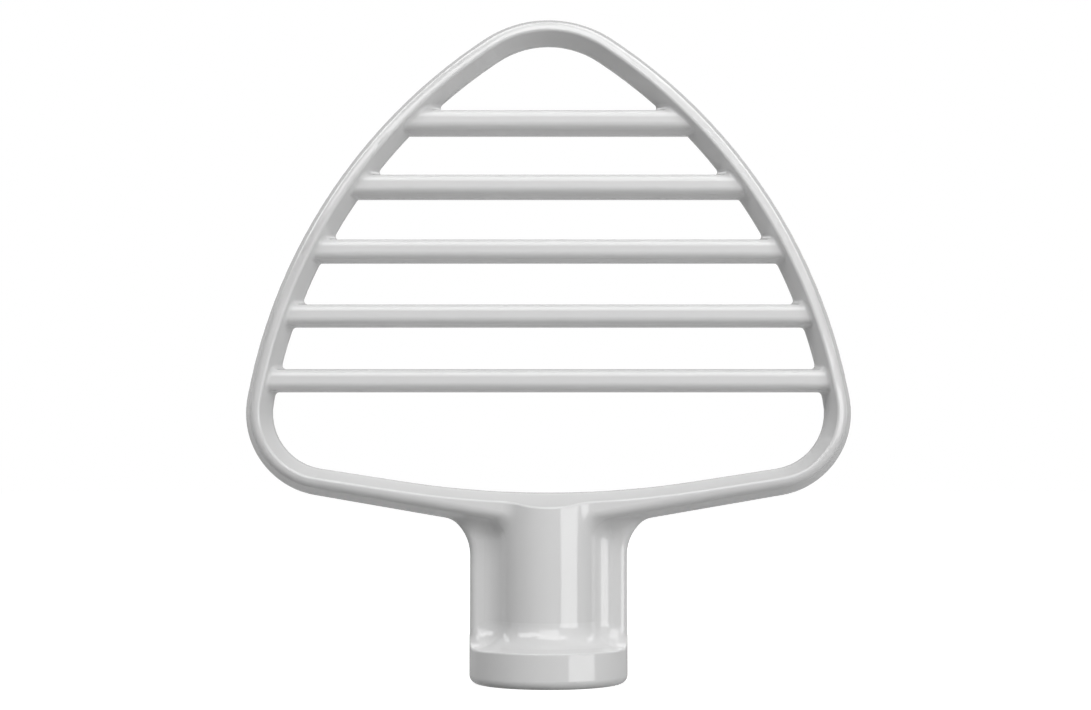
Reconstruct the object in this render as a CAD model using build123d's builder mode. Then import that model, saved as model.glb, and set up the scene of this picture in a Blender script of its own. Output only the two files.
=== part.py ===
from build123d import *
from math import atan2, cos, degrees, radians, sin, sqrt, tan
import os

# A one-piece die-cast pastry beater: loop frame, cross bars, fluted hub and bayonet socket.
# It stands on its hub end at Z = 0, with the apex up, the frame in the XZ plane and the die
# pulled both ways along Y from the parting plane.

# Loop frame outline in the parting plane
loop_width = 147.0
apex_height = 161.35
apex_radius = 28.5
side_radius = 133.5
corner_radius = 20.45
corner_height = 65.0
rail_slope = 9.8
keel_radius = 40.0

# Loop frame section
frame_thickness = 6.85
frame_depth = 16.4
frame_draft = 16.5
parting_round = 4.0
outer_edge_round = 2.4
inner_edge_round = 0.6

# Rail over the hub, thicker towards the middle
rail_flare = 1.0
saddle_radius = 231.0

# Cross bars
bar_count = 5
lowest_bar_rise = 4.18
top_bar_drop = 25.65
bar_thickness = 5.64
bar_depth = 13.0
bar_draft = 4.5
bar_parting_round = 10.0
bar_edge_round = 1.8
bar_root_round = 1.0

# Hub
collar_radius = 19.05
collar_height = 8.4
collar_base_round = 2.0
collar_rim_round = 0.5
ledge_rise = 16.5
boss_radius = 12.0
wing_thickness = 4.8
wing_edge_round = 1.8
wing_step = 0.12
flare_drop = 7.7
flare_radius = 10.5
flare_turn = 42.0
shoulder_round = 5.5
flute_round = 5.35
neck_round = 6.0

# Blind socket for the drive shaft, with a bayonet slot for the cross pin
shaft_diameter = 12.7
shaft_clearance = 0.3
socket_depth = 31.0
socket_chamfer = 0.8
pin_diameter = 4.8
pin_clearance = 0.5
pin_length_past_shaft = 2.6
lock_height = 20.0
lock_turn = 50.0

# Values that follow from the sizes above
half_depth = frame_depth / 2
rail_top_slope = rail_slope - rail_flare
bar_fall = bar_depth / 2 * tan(radians(bar_draft))
wing_reach = collar_radius - wing_step
foot_radius = 2 * collar_radius
ledge_slope = tan(radians(ledge_rise))
boss_foot = collar_height + (collar_radius - boss_radius) * ledge_slope
socket_radius = (shaft_diameter + shaft_clearance) / 2
slot_width = pin_diameter + pin_clearance
slot_reach = shaft_diameter / 2 + pin_length_past_shaft + pin_clearance
touch = 0.01

# The shoulder fillet keeps to the rail's underside, and the flute fillet fits into the shoulder's
fillet_share = tan(radians(90 - frame_draft) / 2)
underside = (half_depth - wing_thickness / 2) / cos(radians(frame_draft))
shoulder_fillet = min(shoulder_round, underside / fillet_share - outer_edge_round)
flute_fillet = min(flute_round, 0.98 * shoulder_fillet)

# The side arc touches the apex arc and the corner arc from outside
apex_centre = Vector(0, apex_height - apex_radius)
corner_centre = Vector(loop_width / 2 - corner_radius, corner_height)
link = corner_centre - apex_centre
apex_spoke_length = side_radius - apex_radius
corner_spoke_length = side_radius - corner_radius
link_share = (link.length**2 + apex_spoke_length**2 - corner_spoke_length**2) / (2 * link.length)
link_drop = sqrt(apex_spoke_length**2 - link_share**2)
link_way = link.normalized()
side_centre = apex_centre + link_way * link_share + Vector(link_way.Y, -link_way.X) * link_drop
apex_spoke = apex_centre - side_centre
corner_spoke = corner_centre - side_centre
apex_turn = degrees(atan2(apex_spoke.Y, apex_spoke.X))
corner_turn = degrees(atan2(corner_spoke.Y, corner_spoke.X))

# The bars share out the room from just above the corners to just under the apex
lowest_bar_height = corner_height + corner_radius * sin(radians(corner_turn)) + lowest_bar_rise
bar_pitch = (apex_height - top_bar_drop - lowest_bar_height) / (bar_count - 1)


def rail_start(inset, slope):
    """Outer end of the straight rail, where it leaves the corner arc."""
    tilt = radians(slope)
    return corner_centre + Vector(sin(tilt), -cos(tilt)) * (corner_radius - inset)


def middle_centre(inset, slope, middle_radius):
    """Height of the centre of the arc that joins the two straight rails over the hub."""
    start = rail_start(inset, slope)
    return start.Y - start.X * tan(radians(slope)) + middle_radius / cos(radians(slope))


def loop_face(inset, slope, middle_radius):
    """Loop outline set in from the outer one, with its own rail slope."""
    centre_height = middle_centre(inset, slope, middle_radius)
    with BuildSketch() as face:
        with BuildLine():
            CenterArc(apex_centre, apex_radius - inset, apex_turn, 90 - apex_turn)
            CenterArc(side_centre, side_radius - inset, corner_turn, apex_turn - corner_turn)
            CenterArc(corner_centre, corner_radius - inset, slope - 90, corner_turn + 90 - slope)
            middle = CenterArc((0, centre_height), middle_radius, -90, slope)
            Line(rail_start(inset, slope), middle @ 1)
            mirror(about=Plane.YZ)
        make_face()
    return face.sketch


saddle_height = middle_centre(frame_thickness, rail_top_slope, saddle_radius) - saddle_radius
boss_top = saddle_height + boss_radius
rail_root = rail_start(0, rail_slope)
shoulder_height = rail_root.Y - (rail_root.X - wing_reach) * tan(radians(rail_slope))
flare_height = shoulder_height - flare_drop

# Section of one bar, drafted from the parting plane and rounded along every edge
with BuildSketch() as bar_section:
    with BuildLine():
        Polyline(
            (0, bar_thickness / 2),
            (bar_depth / 2, bar_thickness / 2 - bar_fall),
            (bar_depth / 2, bar_fall - bar_thickness / 2),
            (0, -bar_thickness / 2),
            (-bar_depth / 2, bar_fall - bar_thickness / 2),
            (-bar_depth / 2, bar_thickness / 2 - bar_fall),
            close=True,
        )
    make_face()
    back, ridges, front = bar_section.vertices().group_by(Axis.X)
    fillet(back + front, bar_edge_round)
    fillet(ridges, bar_parting_round)

# All bars, ending in the middle of the frame's wall
with BuildPart() as bars:
    with BuildSketch(Plane.YZ):
        with Locations([(0, lowest_bar_height + bar_pitch * step) for step in range(bar_count)]):
            add(bar_section.sketch)
    extrude(amount=loop_width / 2, both=True)
    with BuildSketch(Plane.XZ):
        add(loop_face(frame_thickness / 2, rail_slope, keel_radius))
    extrude(amount=bar_depth, both=True, mode=Mode.INTERSECT)

# Wings of the hub, flared into the rail and rounded along their outer edges
with BuildPart() as wings:
    with BuildSketch(Plane.XZ):
        with BuildLine():
            Polyline((0, 0), (wing_reach, 0), (wing_reach, flare_height))
            flare = JernArc((wing_reach, flare_height), (0, 1), flare_radius, -flare_turn)
            rise = frame_thickness / 2
            slant = PolarLine(flare @ 1, rise, 90 - flare_turn, length_mode=LengthMode.VERTICAL)
            Line(slant @ 1, (0, (slant @ 1).Y))
            mirror(about=Plane.YZ)
        make_face()
    extrude(amount=wing_thickness / 2, both=True)
    outer = wings.edges().filter_by(lambda e: abs(abs(e.center().Y) - wing_thickness / 2) < touch)
    fillet(outer.filter_by(lambda e: abs(e.center().X) > wing_reach - touch), wing_edge_round)

with BuildPart() as beater:
    # Loop plate, drafted both ways and rounded along its outer edges
    with BuildSketch(Plane.XZ):
        add(loop_face(0, rail_slope, keel_radius))
    extrude(amount=half_depth, both=True, taper=frame_draft)
    fillet(beater.edges().filter_by(Plane.XZ).filter_by_position(Axis.Y, -touch, touch), parting_round)
    rims = beater.edges().group_by(Axis.Y)
    fillet(rims[0] + rims[-1], outer_edge_round)

    # Wings, with the shoulder fillet round their root
    add(wings.part)
    fillet(edges(Select.NEW), shoulder_fillet)

    # Boss and neck on a wide foot, which lets the flute fillet run right round each wing
    with BuildSketch(Plane.XZ):
        with BuildLine():
            Polyline(
                (0, 0),
                (foot_radius, 0),
                (foot_radius, collar_height + (collar_radius - foot_radius) * ledge_slope),
                (boss_radius, boss_foot),
                (boss_radius, boss_top),
                (0, boss_top),
                close=True,
            )
        make_face()
        fillet(vertices().sort_by_distance((boss_radius, boss_foot))[0], neck_round)
    revolve(axis=Axis.Z)
    flutes = beater.edges().filter_by(Axis.Z)
    flutes = flutes.filter_by(lambda e: abs(abs(e.center().Y) - wing_thickness / 2) < touch)
    fillet(flutes.filter_by(lambda e: abs(e.center().X) < boss_radius), flute_fillet)

    # Turned collar
    with BuildSketch(Plane.XZ):
        with Locations((collar_radius, 0)):
            Rectangle(foot_radius, flare_height, align=(Align.MIN, Align.MIN))
    revolve(axis=Axis.Z, mode=Mode.SUBTRACT)
    band = beater.edges().filter_by(GeomType.CIRCLE)
    band = band.filter_by(lambda e: abs(e.radius - collar_radius) < touch)
    fillet(band.filter_by(lambda e: e.center().Z < touch), collar_base_round)
    fillet(beater.edges().filter_by(lambda e: abs(e.center().Z - collar_height) < touch), collar_rim_round)

    # Window, which also tops off the boss
    with BuildSketch(Plane.XZ):
        add(loop_face(frame_thickness, rail_top_slope, saddle_radius))
    extrude(amount=boss_radius + touch, both=True, taper=-frame_draft, mode=Mode.SUBTRACT)
    rims = edges(Select.LAST).filter_by(lambda e: abs(e.center().Y) > half_depth / 2)
    fillet(rims, inner_edge_round)
    fillet(beater.edges().filter_by(Plane.XZ).filter_by_position(Axis.Y, -touch, touch), parting_round)

    # Cross bars, blended into the frame
    add(bars.part)
    fillet(edges(Select.NEW), bar_root_round)

    # Shaft socket and bayonet slot
    with BuildSketch(Plane.XY):
        Circle(socket_radius)
    extrude(amount=socket_depth, mode=Mode.SUBTRACT)
    with BuildSketch(Plane.XY):
        Rectangle(slot_reach, slot_width, align=(Align.MIN, Align.CENTER))
    extrude(amount=lock_height + slot_width / 2, mode=Mode.SUBTRACT)
    with BuildSketch(Plane.XZ):
        with Locations((0, lock_height)):
            Rectangle(slot_reach, slot_width, align=(Align.MIN, Align.CENTER))
    revolve(axis=Axis.Z, revolution_arc=lock_turn, mode=Mode.SUBTRACT)
    mouth = beater.edges().filter_by(GeomType.CIRCLE).group_by(Axis.Z)[0]
    chamfer(mouth.filter_by(lambda e: e.radius < slot_reach), socket_chamfer)

beater.part.label = "pastry_beater"
os.makedirs("parts", exist_ok=True)
export_step(beater.part, "parts/pastry_beater.step")
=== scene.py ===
from math import cos, pi, radians, sin, tan

import bpy
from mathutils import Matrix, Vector

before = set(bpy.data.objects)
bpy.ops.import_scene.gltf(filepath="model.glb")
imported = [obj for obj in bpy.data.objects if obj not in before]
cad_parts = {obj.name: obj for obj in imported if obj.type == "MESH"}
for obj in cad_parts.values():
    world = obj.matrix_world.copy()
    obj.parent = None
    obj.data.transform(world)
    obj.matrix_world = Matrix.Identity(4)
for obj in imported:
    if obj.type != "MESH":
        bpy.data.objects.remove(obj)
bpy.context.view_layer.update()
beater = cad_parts["pastry_beater"]

# Camera, fitted to the outline in the photograph
image_width_px = 1091
focal_px = 2025
sensor_mm = 36.0
camera_side = -0.00072
camera_distance = 0.4912
camera_height = 0.0495
camera_tilt = 3.434

# Studio: boxes of light on a sphere round the object. Azimuth 0 is in front, and positive is
# to the right.
studio_radius = 0.9
studio_centre = Vector((0.0, 0.0, 0.08))
ambient = 0.01
floor_size = 12.0
floor_grey = 0.42
shadow_floor = 0.85
shadow_reach = 0.12
white_reach = 3 * shadow_reach

# Grey cards round the set, which the gloss shows between the lamps, paler towards the white
# background
card_radius = 3.0
card_steps = 48
card_rows = 24
card_front = 0.02
card_back = 0.45
card_fade_start = 0.2 * card_radius
card_fade_end = 0.9 * card_radius

# Coat: colour, gloss and the faint unevenness of a sprayed and baked finish, lengths in metres
coat_grey = 0.6
grey_drift = 0.015
drift_scale = 45.0
coat_roughness = 0.1
roughness_drift = 0.15
peel_width = 0.0012
peel_height = 1.5e-6
wave_width = 0.009
wave_height = 6e-6

# Bare socket inside the hub, lengths in metres
socket_reach = 0.0096
socket_top = 0.0312
socket_mouth = 0.00003
bare_colour = (0.72, 0.72, 0.73, 1)
bare_roughness = 0.35


def add_node(tree, kind, **settings):
    """A node with its properties and its unlinked input values set by name."""
    node = tree.nodes.new(kind)
    for name, value in settings.items():
        if hasattr(node, name):
            setattr(node, name, value)
        else:
            node.inputs[name.replace("_", " ")].default_value = value
    return node


def white_to_viewer(tree):
    """1 for the camera's own rays and those that gloss or glass pass on, otherwise 0."""
    path = add_node(tree, "ShaderNodeLightPath")
    gloss = add_node(tree, "ShaderNodeMath", operation="MAXIMUM")
    either = add_node(tree, "ShaderNodeMath", operation="MAXIMUM")
    tree.links.new(path.outputs["Is Glossy Ray"], gloss.inputs[0])
    tree.links.new(path.outputs["Is Transmission Ray"], gloss.inputs[1])
    tree.links.new(path.outputs["Is Camera Ray"], either.inputs[0])
    tree.links.new(gloss.outputs[0], either.inputs[1])
    return either.outputs[0]


def direction(azimuth, elevation):
    """Unit vector from the object towards the given angles, in degrees."""
    a, e = radians(azimuth), radians(elevation)
    return Vector((sin(a) * cos(e), -cos(a) * cos(e), sin(e)))


def softbox(name, azimuth, elevation, across, up, radiance):
    """An area lamp that covers the given angles, in degrees, as seen from the object."""
    away = direction(azimuth, elevation)
    lamp = bpy.data.lights.new(name, "AREA")
    lamp.shape = "RECTANGLE"
    lamp.size = 2 * studio_radius * tan(radians(across / 2))
    lamp.size_y = 2 * studio_radius * tan(radians(up / 2))
    lamp.energy = radiance * pi * lamp.size * lamp.size_y
    holder = bpy.data.objects.new(name, lamp)
    holder.location = studio_centre + away * studio_radius
    holder.rotation_mode = "QUATERNION"
    holder.rotation_quaternion = (-away).to_track_quat("-Z", "Y")
    bpy.context.scene.collection.objects.link(holder)
    return holder


def coat_material():
    """Smooth light grey coat, left off inside the shaft socket."""
    material = bpy.data.materials.new("coat")
    material.use_nodes = True
    tree = material.node_tree
    link = tree.links.new
    shader = tree.nodes["Principled BSDF"]
    place = add_node(tree, "ShaderNodeTexCoord").outputs["Object"]

    # Unevenness of the surface
    peel = add_node(tree, "ShaderNodeTexNoise", Scale=1 / peel_width, Detail=2.0, Roughness=0.45)
    wave = add_node(tree, "ShaderNodeTexNoise", Scale=1 / wave_width, Detail=1.0, Roughness=0.4)
    fine = add_node(tree, "ShaderNodeBump", Distance=peel_height, Strength=1.0)
    broad = add_node(tree, "ShaderNodeBump", Distance=wave_height, Strength=1.0)
    link(place, peel.inputs["Vector"])
    link(place, wave.inputs["Vector"])
    link(wave.outputs["Fac"], broad.inputs["Height"])
    link(peel.outputs["Fac"], fine.inputs["Height"])
    link(broad.outputs["Normal"], fine.inputs["Normal"])
    link(fine.outputs["Normal"], shader.inputs["Normal"])

    # Socket mask: close to the axis, and above the hub's end face
    split = add_node(tree, "ShaderNodeSeparateXYZ")
    flat = add_node(tree, "ShaderNodeCombineXYZ")
    reach = add_node(tree, "ShaderNodeVectorMath", operation="LENGTH")
    near = add_node(tree, "ShaderNodeMath", operation="LESS_THAN")
    below = add_node(tree, "ShaderNodeMath", operation="LESS_THAN")
    above = add_node(tree, "ShaderNodeMath", operation="GREATER_THAN")
    inside = add_node(tree, "ShaderNodeMath", operation="MULTIPLY")
    bare = add_node(tree, "ShaderNodeMath", operation="MULTIPLY")
    near.inputs[1].default_value = socket_reach
    below.inputs[1].default_value = socket_top
    above.inputs[1].default_value = socket_mouth
    link(place, split.inputs[0])
    link(split.outputs["X"], flat.inputs["X"])
    link(split.outputs["Y"], flat.inputs["Y"])
    link(flat.outputs[0], reach.inputs[0])
    link(reach.outputs["Value"], near.inputs[0])
    link(split.outputs["Z"], below.inputs[0])
    link(split.outputs["Z"], above.inputs[0])
    link(near.outputs[0], inside.inputs[0])
    link(below.outputs[0], inside.inputs[1])
    link(inside.outputs[0], bare.inputs[0])
    link(above.outputs[0], bare.inputs[1])

    # Colour and gloss, each drifting a little over the surface
    drift = add_node(tree, "ShaderNodeTexNoise", Scale=drift_scale, Detail=3.0, Roughness=0.5)
    shade = add_node(tree, "ShaderNodeMapRange")
    shade.inputs["To Min"].default_value = coat_grey * (1 - grey_drift)
    shade.inputs["To Max"].default_value = coat_grey * (1 + grey_drift)
    tint = add_node(tree, "ShaderNodeMix", data_type="RGBA")
    dull = add_node(tree, "ShaderNodeMapRange")
    dull.inputs["To Min"].default_value = coat_roughness * (1 - roughness_drift)
    dull.inputs["To Max"].default_value = coat_roughness * (1 + roughness_drift)
    gloss = add_node(tree, "ShaderNodeMix", data_type="FLOAT")
    link(place, drift.inputs["Vector"])
    link(drift.outputs["Fac"], shade.inputs["Value"])
    link(peel.outputs["Fac"], dull.inputs["Value"])
    link(bare.outputs[0], tint.inputs["Factor"])
    link(shade.outputs[0], tint.inputs["A"])
    tint.inputs["B"].default_value = bare_colour
    link(bare.outputs[0], gloss.inputs["Factor"])
    link(dull.outputs[0], gloss.inputs["A"])
    gloss.inputs["B"].default_value = bare_roughness
    link(tint.outputs["Result"], shader.inputs["Base Color"])
    link(gloss.outputs["Result"], shader.inputs["Roughness"])
    link(bare.outputs[0], shader.inputs["Metallic"])
    return material


def floor_material():
    """Pale floor that the viewer sees as white, apart from the object's shadow."""
    material = bpy.data.materials.new("floor")
    material.use_nodes = True
    tree = material.node_tree
    tree.nodes.clear()
    ground = add_node(tree, "ShaderNodeBsdfDiffuse")
    ground.inputs["Color"].default_value = (floor_grey, floor_grey, floor_grey, 1)
    glow = add_node(tree, "ShaderNodeEmission")
    place = add_node(tree, "ShaderNodeTexCoord")
    reach = add_node(tree, "ShaderNodeVectorMath", operation="LENGTH")
    level = add_node(tree, "ShaderNodeMapRange", interpolation_type="SMOOTHSTEP")
    level.inputs["From Min"].default_value = shadow_reach
    level.inputs["From Max"].default_value = white_reach
    level.inputs["To Min"].default_value = shadow_floor
    level.inputs["To Max"].default_value = 1.0
    lift = add_node(tree, "ShaderNodeMath", operation="MULTIPLY")
    total = add_node(tree, "ShaderNodeAddShader")
    out = add_node(tree, "ShaderNodeOutputMaterial")
    tree.links.new(place.outputs["Object"], reach.inputs[0])
    tree.links.new(reach.outputs["Value"], level.inputs["Value"])
    tree.links.new(white_to_viewer(tree), lift.inputs[0])
    tree.links.new(level.outputs[0], lift.inputs[1])
    tree.links.new(lift.outputs[0], glow.inputs["Strength"])
    tree.links.new(ground.outputs[0], total.inputs[0])
    tree.links.new(glow.outputs[0], total.inputs[1])
    tree.links.new(total.outputs[0], out.inputs["Surface"])
    return material


def card_material():
    """Grey cards, dark in front and paler behind the object."""
    material = bpy.data.materials.new("cards")
    material.use_nodes = True
    tree = material.node_tree
    tree.nodes.clear()
    place = add_node(tree, "ShaderNodeTexCoord")
    split = add_node(tree, "ShaderNodeSeparateXYZ")
    level = add_node(tree, "ShaderNodeMapRange", interpolation_type="SMOOTHSTEP")
    level.inputs["From Min"].default_value = card_fade_start
    level.inputs["From Max"].default_value = card_fade_end
    level.inputs["To Min"].default_value = card_front
    level.inputs["To Max"].default_value = card_back
    glow = add_node(tree, "ShaderNodeEmission")
    out = add_node(tree, "ShaderNodeOutputMaterial")
    tree.links.new(place.outputs["Object"], split.inputs[0])
    tree.links.new(split.outputs["Y"], level.inputs["Value"])
    tree.links.new(level.outputs[0], glow.inputs["Strength"])
    tree.links.new(glow.outputs[0], out.inputs["Surface"])
    return material


def stage_mesh(name, corners, faces, material):
    """A piece of the set, which is not part of the object."""
    mesh = bpy.data.meshes.new(name)
    mesh.from_pydata(corners, [], faces)
    mesh.materials.append(material)
    piece = bpy.data.objects.new(name, mesh)
    bpy.context.scene.collection.objects.link(piece)
    return piece


def build_floor():
    """Floor at the foot of the object, left out of the gloss."""
    half = floor_size / 2
    corners = [(-half, -half, 0), (half, -half, 0), (half, half, 0), (-half, half, 0)]
    floor = stage_mesh("floor", corners, [(0, 1, 2, 3)], floor_material())
    floor.visible_glossy = False


def build_cards():
    """A dome of cards that only the gloss shows."""
    corners = []
    for row in range(card_rows + 1):
        elevation = 180 * row / card_rows - 90
        for step in range(card_steps):
            way = direction(360 * step / card_steps, elevation)
            corners.append(studio_centre + way * card_radius)
    faces = []
    for row in range(card_rows):
        low, high = row * card_steps, (row + 1) * card_steps
        for step in range(card_steps):
            after = (step + 1) % card_steps
            faces.append((low + step, low + after, high + after, high + step))
    cards = stage_mesh("cards", corners, faces, card_material())
    cards.visible_camera = False
    cards.visible_diffuse = False
    cards.visible_shadow = False
    cards.visible_transmission = False


def build_world():
    """White to the viewer, almost dark as a light."""
    world = bpy.data.worlds.new("studio")
    world.use_nodes = True
    tree = world.node_tree
    sky = tree.nodes["Background"]
    level = add_node(tree, "ShaderNodeMapRange", To_Min=ambient, To_Max=1.0)
    tree.links.new(white_to_viewer(tree), level.inputs["Value"])
    tree.links.new(level.outputs[0], sky.inputs["Strength"])
    sky.inputs["Color"].default_value = (1, 1, 1, 1)
    bpy.context.scene.world = world


def build_lamps():
    """Lamps by azimuth, elevation, width and height in degrees, and radiance."""
    softbox("key", 2, 35, 42, 30, 2.8)
    softbox("key_high", 10, 60, 50, 20, 3.3)
    softbox("left", -52, 40, 42, 20, 4.0)
    softbox("back_right", 132, 47.5, 30, 55, 2.1)
    softbox("back_left", 228, 47.5, 30, 55, 2.4)

    # The strip lights the coat, and the gloss shows only its middle
    strip = softbox("strip", 49, 0, 40, 60, 3.9)
    streak = softbox("streak", 49, -1, 40, 24, 3.9)
    strip.visible_glossy = False
    streak.visible_diffuse = False


def build_camera():
    """Camera that frames the object as the photograph does."""
    lens = bpy.data.cameras.new("camera")
    lens.sensor_width = sensor_mm
    lens.lens = focal_px / image_width_px * sensor_mm
    camera = bpy.data.objects.new("camera", lens)
    camera.location = (camera_side, -camera_distance, camera_height)
    camera.rotation_euler = (radians(90 + camera_tilt), 0, 0)
    bpy.context.scene.collection.objects.link(camera)
    bpy.context.scene.camera = camera


beater.data.materials.clear()
beater.data.materials.append(coat_material())
build_floor()
build_cards()
build_world()
build_lamps()
build_camera()
bpy.context.scene.view_settings.view_transform = "Standard"
